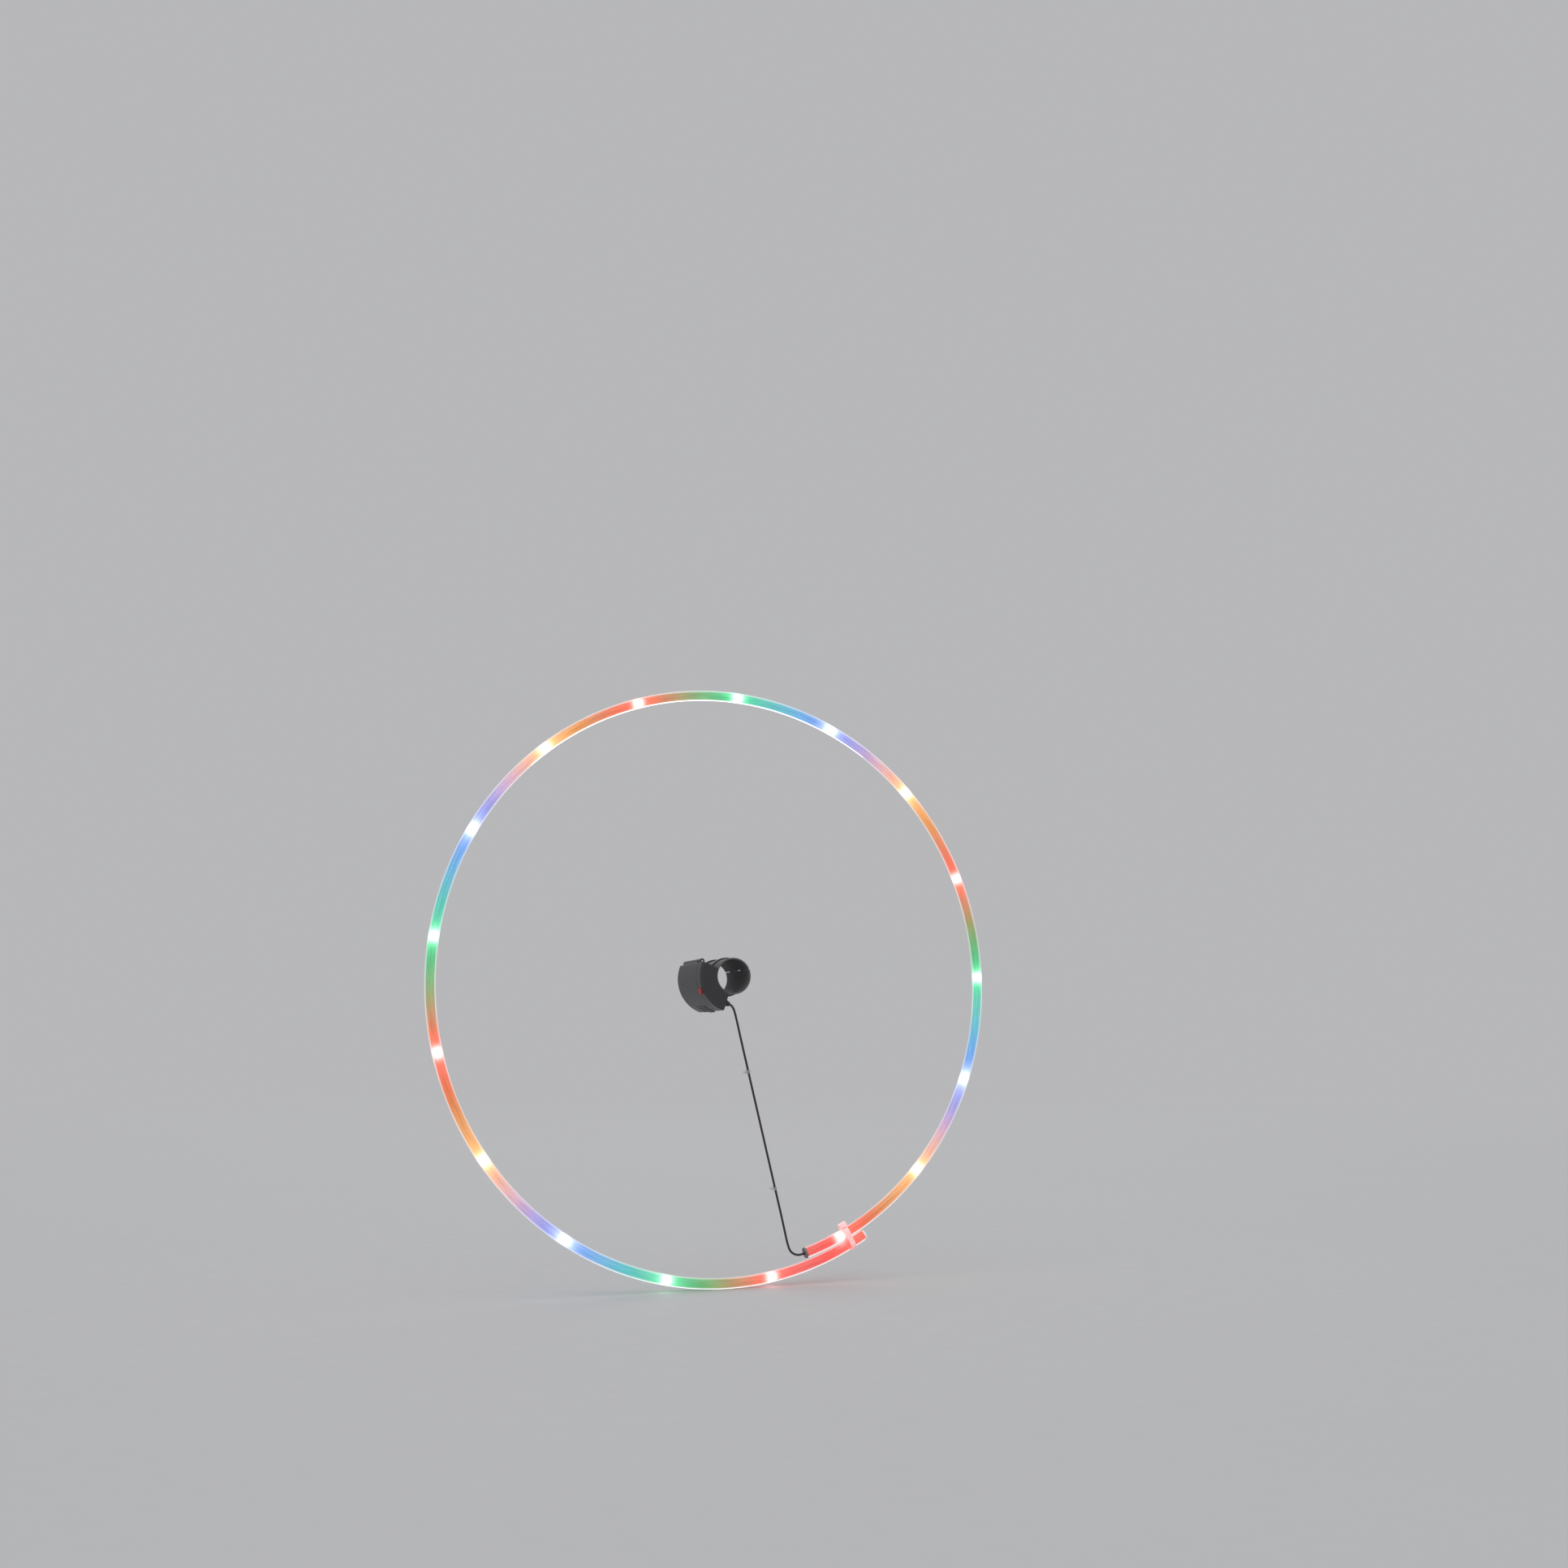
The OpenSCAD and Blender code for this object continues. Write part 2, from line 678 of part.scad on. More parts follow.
// A contact spring's centre line, from its plate to the cell
spring_lo = -cell_room / 2 + plate_t + spring_wire_r + touch;
spring_rise = spring_len - 2 * (spring_wire_r + touch);
spring_line = [
    for (j = [0:spring_turns * spring_rings])
        let (turn = 360 * j / spring_rings)
        [
            spring_r * cos(turn), spring_r * sin(turn),
            spring_lo + spring_rise * j / (spring_turns * spring_rings)
        ]
];
spring_gap = min([
    for (j = [spring_rings:len(spring_line) - 1])
        norm(spring_line[j] - spring_line[j - spring_rings])
]) - 2 * spring_wire_r;
echo(spring_gap = spring_gap);

module contact_spring(i) {
    color("silver") on_hub() at_cell(i)
        round_cord(spring_line, spring_wire_r, spring_sides, [0, 0, 1]);
}

// A contact plate across one or two cells
module contact_plate(a_from, a_to, z) {
    bent_plate(cell_r - plate_half_w, cell_r + plate_half_w, a_from, a_to, z, z + plate_t);
}

module plus_tab(extra) {
    tab_r = cell_r - plate_half_w + slip;
    extra_a = arc_deg(extra, tab_r);
    bent_plate(
        tab_r - extra, tab_r + tab_h + extra, tab_a - extra_a, tab_a + tab_w_a + extra_a,
        cells_hi - plate_t / 2, board_lo - touch
    );
}

module plus_plate() {
    color("silver") on_hub() {
        contact_plate(-cell_step - plate_half_a, -cell_step + plate_half_a, cells_hi - plate_t);
        plus_tab(0);
    }
}

module minus_strip(extra) {
    past_board = 2;
    at_wall(wall_in, strip_lo) translate([-plate_t - touch - extra, -extra, cells_lo])
        cube([plate_t + 2 * extra, strip_hi - strip_lo + 2 * extra, board_lo + past_board - cells_lo]);
}

module minus_plate() {
    color("silver") on_hub() {
        contact_plate(cell_step - plate_half_a, wall_in - arc_deg(plate_t, cell_r), cells_lo);
        minus_strip(0);
    }
}

module near_bridge() {
    color("silver") on_hub() contact_plate(-plate_half_a, cell_step + plate_half_a, cells_hi - plate_t);
}

module far_bridge() {
    color("silver") on_hub() contact_plate(-cell_step - plate_half_a, plate_half_a, cells_lo);
}

module circuit_board() {
    color("darkgreen") on_hub() translate([board_left, board_y, board_lo])
        cube([board_right - board_left, board_t, board_hi - board_lo]);
}

module driver_chip() {
    chip_size = [4.9, 1.4, 3.9];
    chip_set = 1;
    color("black") on_hub() translate([board_right / 2, board_y + board_t, board_lo + chip_set])
        cube(chip_size);
}

module switch_body() {
    color("dimgray") on_hub() difference() {
        translate([-switch_w / 2, board_y + board_t, bay_z - switch_w / 2])
            cube([switch_w, switch_h, switch_w]);
        upward(stem_lo - button_travel - clear)
            cylinder(r = stem_r + slip, h = switch_h);
    }
}

// The button's axis, outwards from a height above the ring's axis
module upward(y) {
    translate([0, y, bay_z]) rotate([-90, 0, 0]) children();
}

module switch_stem() {
    color("gainsboro") on_hub() upward(stem_lo) cylinder(r = stem_r, h = stem_top - stem_lo);
}

module button() {
    cap_top = skin_r + button_rise;
    bevel = 0.5;
    color("crimson") on_hub() upward(0) rotate_extrude() polygon([
        [0, stem_top], [stem_r, stem_top], [stem_r, flange_top - flange_t],
        [flange_r, flange_top - flange_t], [flange_r, flange_top], [button_r, flange_top],
        [button_r, cap_top - bevel], [button_r - bevel, cap_top], [0, cap_top]
    ]);
}

light_tube();
string_wire(1);  // wire_plus
string_wire(-1);  // wire_minus
for (i = [0:led_count - 1])
    led(i);
for (tint = [0:3])
    chips(tint);
closed_plug();
lead_plug();
join_tie();
lead();
for (k = [0, 1])
    lead_tie(k);
lead_grommet();
lead_cores();
hub_sleeve();
for (k = [0, 1])
    hub_tie(k);
case_body();
battery_door();
hinge_pin();
door_gasket();
bay_cover();
for (i = [0:2])
    cell(i);
for (i = [0:2])
    contact_spring(i);
plus_plate();
minus_plate();
near_bridge();
far_bridge();
circuit_board();
driver_chip();
switch_body();
switch_stem();
button();
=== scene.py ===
import math

import bpy
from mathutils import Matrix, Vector


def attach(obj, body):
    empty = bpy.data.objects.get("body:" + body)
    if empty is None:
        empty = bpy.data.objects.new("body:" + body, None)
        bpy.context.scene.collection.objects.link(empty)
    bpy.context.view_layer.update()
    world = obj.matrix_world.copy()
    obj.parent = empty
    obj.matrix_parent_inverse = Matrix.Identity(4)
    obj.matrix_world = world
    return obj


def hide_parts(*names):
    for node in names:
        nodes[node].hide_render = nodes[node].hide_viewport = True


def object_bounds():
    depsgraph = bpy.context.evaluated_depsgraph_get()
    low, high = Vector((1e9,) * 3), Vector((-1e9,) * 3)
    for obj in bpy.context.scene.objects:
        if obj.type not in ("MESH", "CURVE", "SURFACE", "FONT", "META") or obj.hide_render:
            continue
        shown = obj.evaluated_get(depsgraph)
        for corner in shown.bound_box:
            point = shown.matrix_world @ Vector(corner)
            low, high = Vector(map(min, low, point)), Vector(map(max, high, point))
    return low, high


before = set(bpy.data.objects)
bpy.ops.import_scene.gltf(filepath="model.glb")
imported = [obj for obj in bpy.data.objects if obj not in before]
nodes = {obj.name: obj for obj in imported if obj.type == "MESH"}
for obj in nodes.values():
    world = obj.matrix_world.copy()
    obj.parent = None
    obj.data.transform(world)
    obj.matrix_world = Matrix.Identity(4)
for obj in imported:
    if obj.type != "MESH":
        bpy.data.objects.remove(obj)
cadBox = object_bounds()
scene = bpy.context.scene
scene.view_settings.view_transform = "Standard"
print("frame loaded,", len(nodes), "nodes")

# camera: low beside the ring, upright, turned to the right and looking up a little
viewpoint = {
    "place": (-0.4638, -1.3127, -0.0754),
    "turn": 21.755,
    "tilt": 10.344,
    "lens": 35.0,
    "sensor": 36.0,
    "nearest": 0.02,
    "farthest": 200,
}


def makeCamera(look):
    data = bpy.data.cameras.new("camera")
    data.lens = look["lens"]
    data.sensor_width = look["sensor"]
    data.clip_start = look["nearest"]
    data.clip_end = look["farthest"]
    camera = bpy.data.objects.new("camera", data)
    camera.location = look["place"]
    camera.rotation_euler = (math.radians(90 + look["tilt"]), 0, math.radians(-look["turn"]))
    scene.collection.objects.link(camera)
    scene.camera = camera


makeCamera(viewpoint)
print("camera placed")


# tube's run: the same three arcs as its solid, from the closed end to the lead end, in metres
tubeRun = {
    "ringR": 0.2615,
    "spread": 0.0045,   # the closed end springs out
    "tuck": 0.007,      # the lead end tucks in
    "closedSweep": 120,
    "middleSweep": 180,
    "leadSweep": 73,
    "outerR": 0.00475,
    "boreR": 0.0032,
    "ledFirst": 0.096,  # from the closed end
    "ledLast": 0.035,   # from the lead end
    "ledCount": 17,
}
arcR = [
    tubeRun["ringR"] + tubeRun["spread"],
    tubeRun["ringR"],
    tubeRun["ringR"] - tubeRun["tuck"],
]
arcX = [tubeRun["spread"], 0.0, tubeRun["tuck"]]
arcSweep = [tubeRun["closedSweep"], tubeRun["middleSweep"], tubeRun["leadSweep"]]
arcEnd = [0.0]
for r, sweep in zip(arcR, arcSweep):
    arcEnd.append(arcEnd[-1] + r * math.radians(sweep))
tubeLength = arcEnd[-1]
ledStep = (tubeLength - tubeRun["ledFirst"] - tubeRun["ledLast"]) / (tubeRun["ledCount"] - 1)
ledPlaces = [tubeRun["ledFirst"] + ledStep * i for i in range(tubeRun["ledCount"])]


def tubePlace(s):
    # the tube's middle at a length along its run, and the way out from the ring's middle there
    i = 0 if s < arcEnd[1] else 1 if s < arcEnd[2] else 2
    if i == 0:
        a = math.pi + (arcEnd[1] - s) / arcR[0]
    else:
        a = (arcEnd[2] - s) / arcR[i]
    outward = Vector((math.cos(a), 0, math.sin(a)))
    return Vector((arcX[i], 0, 0)) + outward * arcR[i], outward


# lead: out of the pack, straight towards the ring, round into the tube's end; millimetres, the pack's
# bend from the ring's middle and the tube's bend from the tube's end (out of it, in depth, inwards)
leadRun = {
    "packBend": [
        (-11, -25.5, -22), (-5, -25.5, -24), (-2, -25.5, -25), (0, -25.5, -26.4),
        (1.5, -25.4, -28.6), (3, -25, -32),
    ],
    "tubeBend": [
        (15, -1, 11), (14.2, -0.5, 6.8), (11.8, 0, 3.2), (8.2, 0, 0.8), (4, 0, 0), (-10, 0, 0),
    ],
    "straightSteps": 8,
    "diameter": 0.002,
    "curveSteps": 6,
    "roundSteps": 5,
}
mmPerMetre = 1000


def leadRoute(run):
    pack = [Vector(p) / mmPerMetre for p in run["packBend"]]
    end, outward = tubePlace(tubeLength)
    axes = (Vector((outward.z, 0, -outward.x)), Vector((0, 1, 0)), -outward)
    tube = [
        end + sum((axis * value for axis, value in zip(axes, p)), Vector()) / mmPerMetre
        for p in run["tubeBend"]
    ]
    steps = run["straightSteps"]
    straight = [pack[-1].lerp(tube[0], j / steps) for j in range(1, steps)]
    return pack + straight + tube


def smoothLine(points, steps):
    # a curve through the points that takes long and short steps alike
    ends = [points[0] * 2 - points[1]] + points + [points[-1] * 2 - points[-2]]
    line = []
    for group in zip(ends, ends[1:], ends[2:], ends[3:]):
        knots = [0.0]
        for a, b in zip(group, group[1:]):
            knots.append(knots[-1] + math.sqrt((b - a).length))
        for j in range(steps):
            t = knots[1] + (knots[2] - knots[1]) * j / steps
            row = group
            for span in (1, 2):
                row = [
                    a.lerp(b, (t - knots[i]) / (knots[i + span] - knots[i]))
                    for i, (a, b) in enumerate(zip(row, row[1:]))
                ]
            line.append(row[0].lerp(row[1], j / steps))
    line.append(points[-1])
    return line


def makeLead(run):
    line = smoothLine(leadRoute(run), run["curveSteps"])
    data = bpy.data.curves.new("lead_cord", "CURVE")
    data.dimensions = "3D"
    data.bevel_depth = 1.0  # each point's radius is then the lead's own
    data.bevel_resolution = run["roundSteps"]
    data.use_fill_caps = True
    spline = data.splines.new("POLY")
    spline.points.add(len(line) - 1)
    for point, place in zip(spline.points, line):
        point.co = (*place, 1)
        point.radius = run["diameter"] / 2
    spline.use_smooth = True
    lead = bpy.data.objects.new("lead_cord", data)
    scene.collection.objects.link(lead)
    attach(lead, "light")
    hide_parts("lead")
    return lead


leadCord = makeLead(leadRun)


# shader nodes: an input takes a fixed value, or a link from another node's output
def newSurface(name):
    material = bpy.data.materials.new(name)
    material.use_nodes = True
    tree = material.node_tree
    shader = tree.nodes["Principled BSDF"]
    return material, tree, shader


def feed(tree, socket, value):
    if isinstance(value, bpy.types.NodeSocket):
        tree.links.new(value, socket)
    else:
        socket.default_value = value


def addNode(tree, kind, values=None, **settings):
    node = tree.nodes.new(kind)
    for key, value in settings.items():
        setattr(node, key, value)
    for key, value in (values or {}).items():
        feed(tree, node.inputs[key], value)
    return node


def setShader(tree, shader, values):
    for key, value in values.items():
        feed(tree, shader.inputs[key], value)


def noiseOf(tree, source, size, detail=3.0, stretch=(1, 1, 1)):
    place = addNode(tree, "ShaderNodeMapping", {"Vector": source, "Scale": stretch}).outputs["Vector"]
    values = {"Vector": place, "Scale": 1 / size, "Detail": detail}
    return addNode(tree, "ShaderNodeTexNoise", values).outputs["Fac"]


def rangeOf(tree, source, start, end, low=0.0, high=1.0, **settings):
    values = {"Value": source, "From Min": start, "From Max": end, "To Min": low, "To Max": high}
    return addNode(tree, "ShaderNodeMapRange", values, **settings).outputs["Result"]


noiseSpan = (0.3, 0.7)  # where most of a noise's values lie


def spreadOf(tree, noise, low, high):
    return rangeOf(tree, noise, *noiseSpan, low, high)


def mixColors(tree, factor, first, second, blend="MIX"):
    node = addNode(tree, "ShaderNodeMix", {"Factor": factor}, data_type="RGBA", blend_type=blend)
    colors = [socket for socket in node.inputs if socket.type == "RGBA"]
    for socket, value in zip(colors, (first, second)):
        feed(tree, socket, value if isinstance(value, bpy.types.NodeSocket) else (*value, 1))
    return [socket for socket in node.outputs if socket.type == "RGBA"][0]


def shaded(color, share):
    return tuple(c * share for c in color)


# edges: rounded in the light, and paler where the rounded normal leans from the flat one
edgeLook = {"samples": 4, "leanFrom": 0.995, "leanTo": 0.85}


def edgeMask(tree, radius):
    soft = addNode(tree, "ShaderNodeBevel", {"Radius": radius}, samples=edgeLook["samples"])
    flat = addNode(tree, "ShaderNodeNewGeometry")
    normals = {0: soft.outputs["Normal"], 1: flat.outputs["Normal"]}
    lean = addNode(tree, "ShaderNodeVectorMath", normals, operation="DOT_PRODUCT").outputs["Value"]
    return soft.outputs["Normal"], rangeOf(tree, lean, edgeLook["leanFrom"], edgeLook["leanTo"])


def bareEnds(tree, ends):
    # one on a cell's bare metal ends, by place along its length, and nought on its sleeve
    place = addNode(tree, "ShaderNodeTexCoord").outputs["Generated"]
    along = addNode(tree, "ShaderNodeSeparateXYZ", {"Vector": place}).outputs["Y"]
    low = addNode(tree, "ShaderNodeMath", {0: along, 1: ends["low"]}, operation="LESS_THAN")
    high = addNode(tree, "ShaderNodeMath", {0: along, 1: ends["high"]}, operation="GREATER_THAN")
    both = {0: low.outputs["Value"], 1: high.outputs["Value"]}
    return addNode(tree, "ShaderNodeMath", both, operation="MAXIMUM").outputs["Value"]


# finishes: one call makes a surface with its own grain, colour drift, gloss drift and edges
plainFinish = {"stretch": (1, 1, 1), "drift": 0.012, "edge": 0.0002, "wear": 1.6, "sockets": {}}


def makeFinish(piece):
    look = {**plainFinish, **piece}
    material, tree, shader = newSurface(look["name"])
    place = addNode(tree, "ShaderNodeTexCoord").outputs["Object"]
    grain = noiseOf(tree, place, look["grain"], stretch=look["stretch"])
    drift = noiseOf(tree, place, look["drift"])
    color = look["color"]
    tone = mixColors(tree, drift, shaded(color, 1 - look["vary"]), shaded(color, 1 + look["vary"]))
    relief = {"Strength": look["bump"], "Distance": look["depth"], "Height": grain}
    values = dict(look["sockets"])
    if look["edge"]:
        relief["Normal"], worn = edgeMask(tree, look["edge"])
        tone = mixColors(tree, worn, tone, shaded(color, look["wear"]))
    if "ends" in look:
        values["Metallic"] = bareEnds(tree, look["ends"])
        tone = mixColors(tree, values["Metallic"], tone, look["ends"]["color"])
    values["Base Color"] = tone
    values["Roughness"] = spreadOf(tree, grain, *look["rough"])
    values["Normal"] = addNode(tree, "ShaderNodeBump", relief).outputs["Normal"]
    setShader(tree, shader, values)
    return material


# light string: each colour's tint, how far it reaches along the tube, and how pale its halo is
lights = [
    {"name": "red", "tint": (0.90, 0.05, 0.04), "reach": 0.044, "pale": 0.03},
    {"name": "green", "tint": (0.03, 0.54, 0.15), "reach": 0.066, "pale": 0.08},
    {"name": "blue", "tint": (0.13, 0.24, 0.86), "reach": 0.072, "pale": 0.46},
    {"name": "yellow", "tint": (1.0, 0.42, 0.05), "reach": 0.059, "pale": 0.14},
]
glow = {
    "base": 0.84,
    "haloGain": 0.90,
    "halo": 0.011,
    "coreGain": 1.7,
    "core": 0.0046,
    "film": 0.93,        # how much the lit bore hides
    "filmGap": 0.55,     # less of it over each bead
    "filmReach": 0.0045,
    "farthest": 0.17,    # lights further off are left out of the sum
}
white = Vector((1, 1, 1))
ledSpots = [(tubePlace(s)[0], lights[i % len(lights)]) for i, s in enumerate(ledPlaces)]


def fall(distance, reach):
    return math.exp(-((distance / reach) ** 2))


def glowAt(spot, near):
    light = Vector()
    film = glow["film"]
    for led, look in near:
        d = (spot - led).length
        tint = Vector(look["tint"])
        light += tint * glow["base"] * fall(d, look["reach"])
        light += tint.lerp(white, look["pale"]) * glow["haloGain"] * fall(d, glow["halo"])
        light += white * glow["coreGain"] * fall(d, glow["core"])
        film -= glow["filmGap"] * fall(d, glow["filmReach"])
    return (*light, film)


# tube: wall and bore in one mesh, closed at both ends, with its light stored along the run
tubeLook = {"step": 0.0016, "sides": 28, "sharp": 50}


def tubeSkin(count, sides, r):
    verts, colors = [], []
    for j in range(count + 1):
        centre, outward = tubePlace(tubeLength * j / count)
        near = [led for led in ledSpots if (led[0] - centre).length < glow["farthest"]]
        for k in range(sides):
            a = 2 * math.pi * k / sides
            level = centre + outward * (r * math.cos(a))  # in the ring's plane, to keep lights round
            verts.append(level + Vector((0, r * math.sin(a), 0)))
            colors.append(glowAt(level, near))
    faces = []
    for j in range(count):
        for k in range(sides):
            a = j * sides + k
            b = j * sides + (k + 1) % sides
            faces.append((a, b, b + sides, a + sides))
    return verts, colors, faces


def makeTube(look):
    count = round(tubeLength / look["step"])
    sides = look["sides"]
    outer = tubeSkin(count, sides, tubeRun["outerR"])
    bore = tubeSkin(count, sides, tubeRun["boreR"])
    first = len(outer[0])
    verts = outer[0] + bore[0]
    colors = outer[1] + bore[1]
    faces = [face[::-1] for face in outer[2]]
    faces += [tuple(v + first for v in face) for face in bore[2]]
    kinds = [0] * len(outer[2]) + [1] * len(bore[2])
    ends = []
    for row, turn in ((0, 1), (count * sides, -1)):
        for k in range(sides):
            a = row + k
            b = row + (k + 1) % sides
            ends.append((a, b, b + first, a + first)[::turn])
    mesh = bpy.data.meshes.new("clear_tube")
    mesh.from_pydata(verts, [], faces + ends)
    light = mesh.color_attributes.new("glow", "FLOAT_COLOR", "POINT")
    light.data.foreach_set("color", [c for color in colors for c in color])
    mesh.polygons.foreach_set("material_index", kinds + [0] * len(ends))
    mesh.polygons.foreach_set("use_smooth", [True] * len(faces) + [False] * len(ends))
    mesh.update()
    mesh.set_sharp_from_angle(angle=math.radians(look["sharp"]))
    tube = bpy.data.objects.new("clear_tube", mesh)
    scene.collection.objects.link(tube)
    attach(tube, "light")
    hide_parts("light_tube")
    print("tube made,", len(mesh.polygons), "faces")
    return tube


clearTube = makeTube(tubeLook)

# tube's wall: clear, with fine lines along it, and a pale share of the light inside
wallLook = {
    "color": (0.97, 0.98, 0.98, 1),
    "ior": 1.14,
    "lines": 0.0012,
    "lineDetail": 1.0,
    "rough": (0.03, 0.11),
    "bump": 0.05,
    "depth": 0.0002,
    "waves": 0.03,
    "waveDetail": 0.0,
    "pale": (0.9, 0.9, 0.9),
    "glowShare": (0.68, 0.88),
    "strength": 0.24,
}
# tube's bore: dark under its light, which is dim and bright in streaks
boreLook = {
    "color": (0.02, 0.02, 0.022, 1),
    "rough": 0.3,
    "streaks": 0.0014,
    "streakDetail": 2.0,
    "dim": (0.74, 0.74, 0.74),
    "bright": (1.1, 1.1, 1.1),
    "strength": 1.0,
}
turnScale = 0.02    # how slowly marks change round the ring
ringPlane = (1, 0, 1)


def glowNode(tree):
    return addNode(tree, "ShaderNodeAttribute", attribute_name="glow")


def alongTube(tree):
    # distance from the middle, depth and a slow turn round the ring, so that marks run along the tube
    place = addNode(tree, "ShaderNodeTexCoord").outputs["Object"]
    split = addNode(tree, "ShaderNodeSeparateXYZ", {"Vector": place}).outputs
    flat = addNode(tree, "ShaderNodeVectorMath", {0: place, 1: ringPlane}, operation="MULTIPLY")
    radius = addNode(tree, "ShaderNodeVectorMath", {0: flat.outputs["Vector"]}, operation="LENGTH")
    turn = addNode(tree, "ShaderNodeMath", {0: split["Z"], 1: split["X"]}, operation="ARCTAN2")
    slow = addNode(tree, "ShaderNodeMath", {0: turn.outputs["Value"], 1: turnScale}, operation="MULTIPLY")
    parts = {"X": radius.outputs["Value"], "Y": split["Y"], "Z": slow.outputs["Value"]}
    return place, addNode(tree, "ShaderNodeCombineXYZ", parts).outputs["Vector"]


def wallFinish(look):
    material, tree, shader = newSurface("clear_vinyl")
    place, along = alongTube(tree)
    waves = noiseOf(tree, place, look["waves"], detail=look["waveDetail"])
    lines = noiseOf(tree, along, look["lines"], detail=look["lineDetail"])
    relief = {"Strength": look["bump"], "Distance": look["depth"], "Height": lines}
    share = spreadOf(tree, waves, *look["glowShare"])
    setShader(tree, shader, {
        "Base Color": look["color"],
        "Transmission Weight": 1.0,
        "IOR": look["ior"],
        "Roughness": spreadOf(tree, lines, *look["rough"]),
        "Normal": addNode(tree, "ShaderNodeBump", relief).outputs["Normal"],
        "Emission Color": mixColors(tree, share, look["pale"], glowNode(tree).outputs["Color"]),
        "Emission Strength": look["strength"],
    })
    return material


def boreFinish(look):
    material, tree, shader = newSurface("lit_bore")
    along = alongTube(tree)[1]
    light = glowNode(tree)
    streaks = noiseOf(tree, along, look["streaks"], detail=look["streakDetail"])
    veil = mixColors(tree, spreadOf(tree, streaks, 0.0, 1.0), look["dim"], look["bright"])
    setShader(tree, shader, {
        "Base Color": look["color"],
        "Roughness": look["rough"],
        "Emission Color": mixColors(tree, 1.0, light.outputs["Color"], veil, blend="MULTIPLY"),
        "Emission Strength": look["strength"],
        "Alpha": light.outputs["Alpha"],
    })
    return material


for surface in (wallFinish(wallLook), boreFinish(boreLook)):
    clearTube.data.materials.append(surface)
print("tube finished")


# light beads and chips: white in the middle, their own colour at the ends
beadLook = {
    "strength": 3.6,
    "chipStrength": 9.0,
    "whiteTo": 0.1,
    "tintFrom": 0.55,
    "rough": 0.12,
    "ior": 1.5,
}
boxMiddle = (0.5, 0.5, 0.5)


def beadFinish(name, tint, strength):
    material, tree, shader = newSurface(name)
    place = addNode(tree, "ShaderNodeTexCoord").outputs["Generated"]
    middle = addNode(tree, "ShaderNodeVectorMath", {0: place, 1: boxMiddle}, operation="DISTANCE")
    fade = rangeOf(tree, middle.outputs["Value"], beadLook["whiteTo"], beadLook["tintFrom"])
    setShader(tree, shader, {
        "Base Color": (*tint, 1),
        "Roughness": beadLook["rough"],
        "IOR": beadLook["ior"],
        "Emission Color": mixColors(tree, fade, white, tint),
        "Emission Strength": strength,
    })
    return material


def dress(names, material):
    for name in names:
        slots = nodes[name].data.materials
        slots.clear()
        slots.append(material)


for i, look in enumerate(lights):
    beads = [f"led_{k + 1:02d}" for k in range(i, tubeRun["ledCount"], len(lights))]
    dress(beads, beadFinish("bead_" + look["name"], look["tint"], beadLook["strength"]))
    chipGlow = beadFinish("chip_" + look["name"], look["tint"], beadLook["chipStrength"])
    dress(["chips_" + look["name"]], chipGlow)
print("lights dressed")


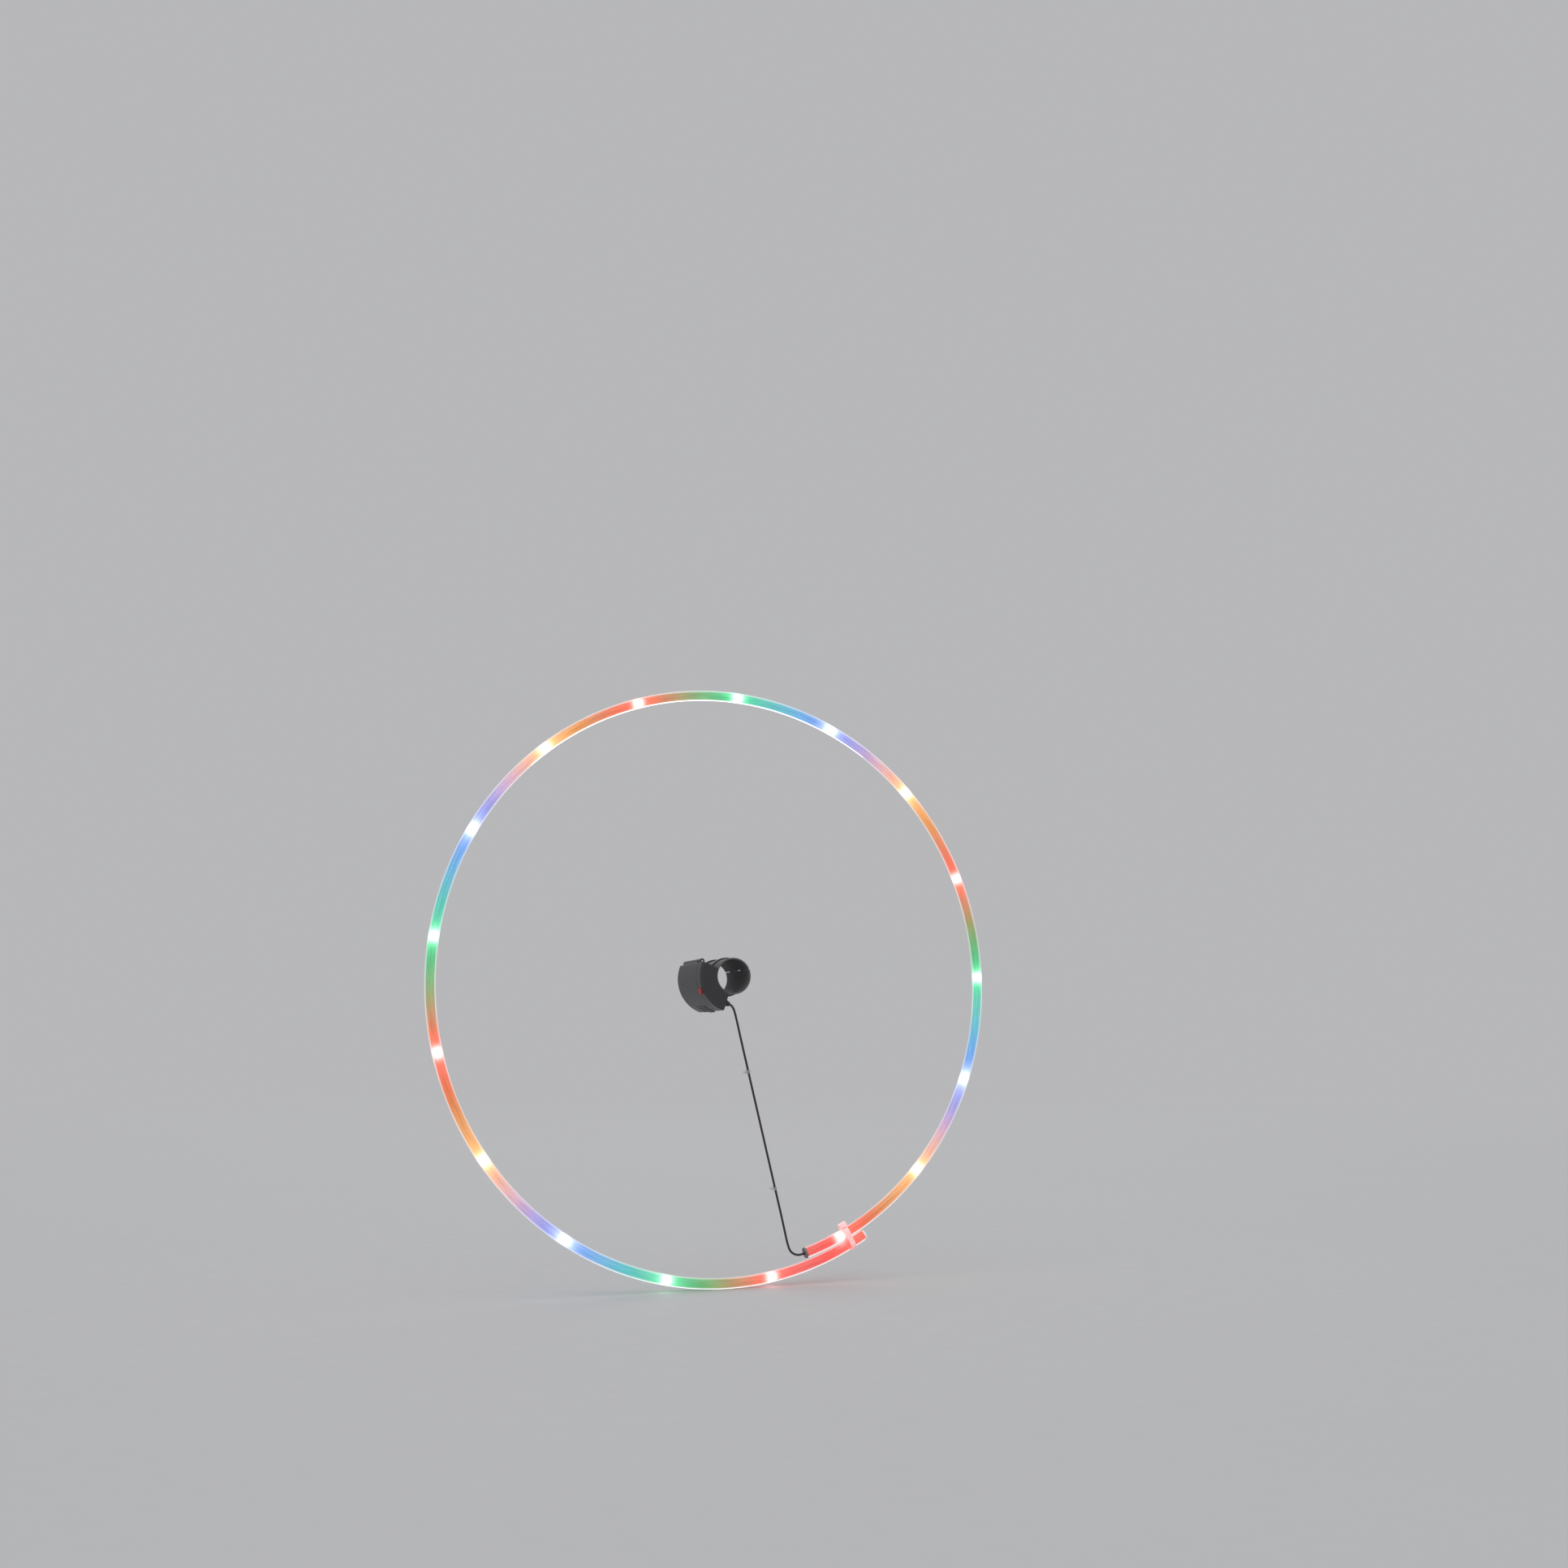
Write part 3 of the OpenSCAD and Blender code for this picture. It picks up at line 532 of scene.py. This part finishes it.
# the other pieces: finish by finish, with the nodes that wear it
finishes = [
    {"name": "tinned_wire", "on": ["wire_plus", "wire_minus"], "color": (0.72, 0.70, 0.66),
     "vary": 0.08, "rough": (0.22, 0.4), "grain": 0.0006, "bump": 0.2, "depth": 0.00002,
     "sockets": {"Metallic": 1.0}},
    {"name": "clear_plug", "on": ["closed_plug"], "color": (0.86, 0.87, 0.86), "vary": 0.04,
     "rough": (0.2, 0.32), "grain": 0.0012, "bump": 0.05, "depth": 0.00003, "edge": 0,
     "sockets": {"Subsurface Weight": 0.8, "Subsurface Radius": (1.0, 0.9, 0.85),
                 "Subsurface Scale": 0.004, "IOR": 1.42}},
    {"name": "grey_plug", "on": ["lead_plug"], "color": (0.16, 0.16, 0.17), "vary": 0.12,
     "rough": (0.45, 0.65), "grain": 0.0004, "bump": 0.3, "depth": 0.00003},
    # join tie: clear nylon, with the tube's red light painted on as a pink base tint and a faint red
    # emission
    {"name": "nylon_with_painted_red_light", "on": ["join_tie"], "color": (0.84, 0.70, 0.70), "vary": 0.05,
     "rough": (0.2, 0.34), "grain": 0.0011, "bump": 0.06, "depth": 0.00003, "edge": 0,
     "sockets": {"Subsurface Weight": 0.7, "Subsurface Radius": (1.0, 0.7, 0.7),
                 "Subsurface Scale": 0.0025, "IOR": 1.5,
                 "Emission Color": (1.0, 0.20, 0.18, 1), "Emission Strength": 0.26}},
    {"name": "clear_nylon", "on": ["lead_tie_1", "lead_tie_2"], "color": (0.82, 0.84, 0.84),
     "vary": 0.05, "rough": (0.22, 0.36), "grain": 0.0011, "bump": 0.06, "depth": 0.00003, "edge": 0,
     "sockets": {"Transmission Weight": 0.8, "IOR": 1.5}},
    {"name": "black_rubber", "on": ["lead_grommet"], "color": (0.03, 0.03, 0.033), "vary": 0.2,
     "rough": (0.5, 0.7), "grain": 0.0004, "bump": 0.35, "depth": 0.00003},
    {"name": "core_jacket", "on": ["lead_cores"], "color": (0.55, 0.06, 0.05), "vary": 0.08,
     "rough": (0.3, 0.45), "grain": 0.0005, "bump": 0.15, "depth": 0.00002},
    {"name": "grey_rubber", "on": ["hub_sleeve"], "color": (0.09, 0.09, 0.095), "vary": 0.2,
     "rough": (0.55, 0.8), "grain": 0.0005, "bump": 0.5, "depth": 0.00006},
    {"name": "black_nylon", "on": ["hub_tie_1", "hub_tie_2"], "color": (0.022, 0.022, 0.025),
     "vary": 0.2, "rough": (0.24, 0.4), "grain": 0.0009, "bump": 0.2, "depth": 0.00004, "wear": 3.0},
    {"name": "black_case", "on": ["case_body", "battery_door", "bay_cover"],
     "color": (0.024, 0.024, 0.027), "vary": 0.25, "rough": (0.26, 0.5), "grain": 0.00045,
     "bump": 0.6, "depth": 0.0001, "edge": 0.0004, "wear": 3.2},
    {"name": "drawn_steel", "on": ["hinge_pin", "spring_1", "spring_2", "spring_3"],
     "color": (0.62, 0.62, 0.64), "vary": 0.06, "rough": (0.2, 0.36), "grain": 0.0004,
     "stretch": (1, 0.2, 1), "bump": 0.15, "depth": 0.00001, "sockets": {"Metallic": 1.0}},
    {"name": "nickel", "on": ["plus_plate", "minus_plate", "near_bridge", "far_bridge"],
     "color": (0.66, 0.63, 0.58), "vary": 0.08, "rough": (0.24, 0.42), "grain": 0.0006,
     "bump": 0.2, "depth": 0.00002, "sockets": {"Metallic": 1.0}},
    {"name": "red_rubber", "on": ["door_gasket"], "color": (0.52, 0.07, 0.035), "vary": 0.1,
     "rough": (0.5, 0.7), "grain": 0.0004, "bump": 0.25, "depth": 0.00003},
    {"name": "green_board", "on": ["circuit_board"], "color": (0.02, 0.14, 0.06), "vary": 0.25,
     "rough": (0.25, 0.4), "grain": 0.0008, "bump": 0.3, "depth": 0.00004},
    {"name": "chip_black", "on": ["driver_chip"], "color": (0.03, 0.03, 0.03), "vary": 0.15,
     "rough": (0.4, 0.6), "grain": 0.0003, "bump": 0.3, "depth": 0.00002},
    {"name": "switch_grey", "on": ["switch_body"], "color": (0.2, 0.2, 0.21), "vary": 0.1,
     "rough": (0.35, 0.5), "grain": 0.0004, "bump": 0.2, "depth": 0.00002},
    {"name": "stem_white", "on": ["switch_stem"], "color": (0.75, 0.75, 0.72), "vary": 0.05,
     "rough": (0.35, 0.5), "grain": 0.0004, "bump": 0.2, "depth": 0.00002},
    {"name": "red_button", "on": ["button"], "color": (0.42, 0.018, 0.02), "vary": 0.12,
     "rough": (0.36, 0.52), "grain": 0.0004, "bump": 0.3, "depth": 0.00003},
    {"name": "cell_sleeve", "on": ["cell_1", "cell_2", "cell_3"], "color": (0.10, 0.17, 0.13),
     "vary": 0.08, "rough": (0.16, 0.28), "grain": 0.0015, "bump": 0.02, "depth": 0.00003,
     "ends": {"low": 0.009, "high": 0.968, "color": (0.62, 0.62, 0.63)}},
]
leadJacket = {
    "name": "lead_jacket", "color": (0.022, 0.022, 0.025), "vary": 0.2, "rough": (0.3, 0.45),
    "grain": 0.0006, "bump": 0.2, "depth": 0.00003,
}
for look in finishes:
    dress(look["on"], makeFinish(look))
leadCord.data.materials.append(makeFinish(leadJacket))
print("pieces dressed,", len(finishes) + 1, "finishes")


# floor: pale, under the ring; far from it the floor takes the backdrop's tone, so that no edge shows
backColor = (0.475, 0.476, 0.486, 1)
floorLook = {
    "size": 60.0,
    "gap": 0.0002,
    "fadeFrom": 1.4,
    "fadeTo": 7.0,
    "paint": {
        "name": "floor_paint", "color": (0.50, 0.50, 0.51), "vary": 0.012, "rough": (0.6, 0.75),
        "grain": 0.02, "drift": 0.4, "bump": 0.02, "depth": 0.0003, "edge": 0,
        "sockets": {"Specular IOR Level": 0.08},
    },
}


def fadeFloor(paint, look):
    tree = paint.node_tree
    place = addNode(tree, "ShaderNodeTexCoord").outputs["Object"]
    away = addNode(tree, "ShaderNodeVectorMath", {0: place}, operation="LENGTH").outputs["Value"]
    share = rangeOf(tree, away, look["fadeFrom"], look["fadeTo"], interpolation_type="SMOOTHSTEP")
    near = tree.nodes["Principled BSDF"].outputs["BSDF"]
    far = addNode(tree, "ShaderNodeEmission", {"Color": backColor, "Strength": 1.0}).outputs["Emission"]
    mix = addNode(tree, "ShaderNodeMixShader", {"Fac": share, 1: near, 2: far})
    feed(tree, tree.nodes["Material Output"].inputs["Surface"], mix.outputs["Shader"])
    paint.cycles.emission_sampling = "NONE"


def makeFloor(look):
    size = look["size"]
    mesh = bpy.data.meshes.new("floor")
    corners = [(-size, -size, 0), (size, -size, 0), (size, size, 0), (-size, size, 0)]
    mesh.from_pydata(corners, [], [(0, 1, 2, 3)])
    floor = bpy.data.objects.new("floor", mesh)
    floor.location.z = cadBox[0].z - look["gap"]
    scene.collection.objects.link(floor)
    paint = makeFinish(look["paint"])
    fadeFloor(paint, look)
    mesh.materials.append(paint)


# world: even light all round, seen and mirrored as the backdrop
worldLook = {"color": (0.96, 0.98, 1.0, 1), "strength": 0.50}


def makeWorld(look):
    world = bpy.data.worlds.new("studio")
    scene.world = world
    world.use_nodes = True
    tree = world.node_tree
    around = tree.nodes["Background"]
    setShader(tree, around, {"Color": look["color"], "Strength": look["strength"]})
    back = addNode(tree, "ShaderNodeBackground", {"Color": backColor, "Strength": 1.0})
    rays = addNode(tree, "ShaderNodeLightPath").outputs
    seen = rays["Is Camera Ray"]
    for other in ("Is Glossy Ray", "Is Transmission Ray"):
        either = addNode(tree, "ShaderNodeMath", {0: seen, 1: rays[other]}, operation="MAXIMUM")
        seen = either.outputs["Value"]
    mix = addNode(tree, "ShaderNodeMixShader", {
        "Fac": seen, 1: around.outputs["Background"], 2: back.outputs["Background"],
    })
    feed(tree, tree.nodes["World Output"].inputs["Surface"], mix.outputs["Shader"])


# lamps: wide and soft, so that the clear wall takes broad pale lights
lamps = [
    {"name": "key", "from": (-0.55, -0.75, 1.0), "spread": 64, "power": 1.15, "color": (1.0, 0.98, 0.95)},
    {"name": "fill", "from": (0.9, -0.6, 0.7), "spread": 60, "power": 0.45, "color": (0.95, 0.97, 1.0)},
    {"name": "back", "from": (0.3, 0.9, 0.8), "spread": 45, "power": 0.45, "color": (1.0, 1.0, 1.0)},
]


def makeLamp(lamp):
    data = bpy.data.lights.new(lamp["name"], "SUN")
    data.angle = math.radians(lamp["spread"])
    data.energy = lamp["power"]
    data.color = lamp["color"]
    light = bpy.data.objects.new(lamp["name"], data)
    light.location = lamp["from"]
    light.rotation_euler = (-Vector(lamp["from"])).to_track_quat("-Z", "Y").to_euler()
    scene.collection.objects.link(light)


makeFloor(floorLook)
makeWorld(worldLook)
for lamp in lamps:
    makeLamp(lamp)
print("stage set")

bpy.context.view_layer.update()
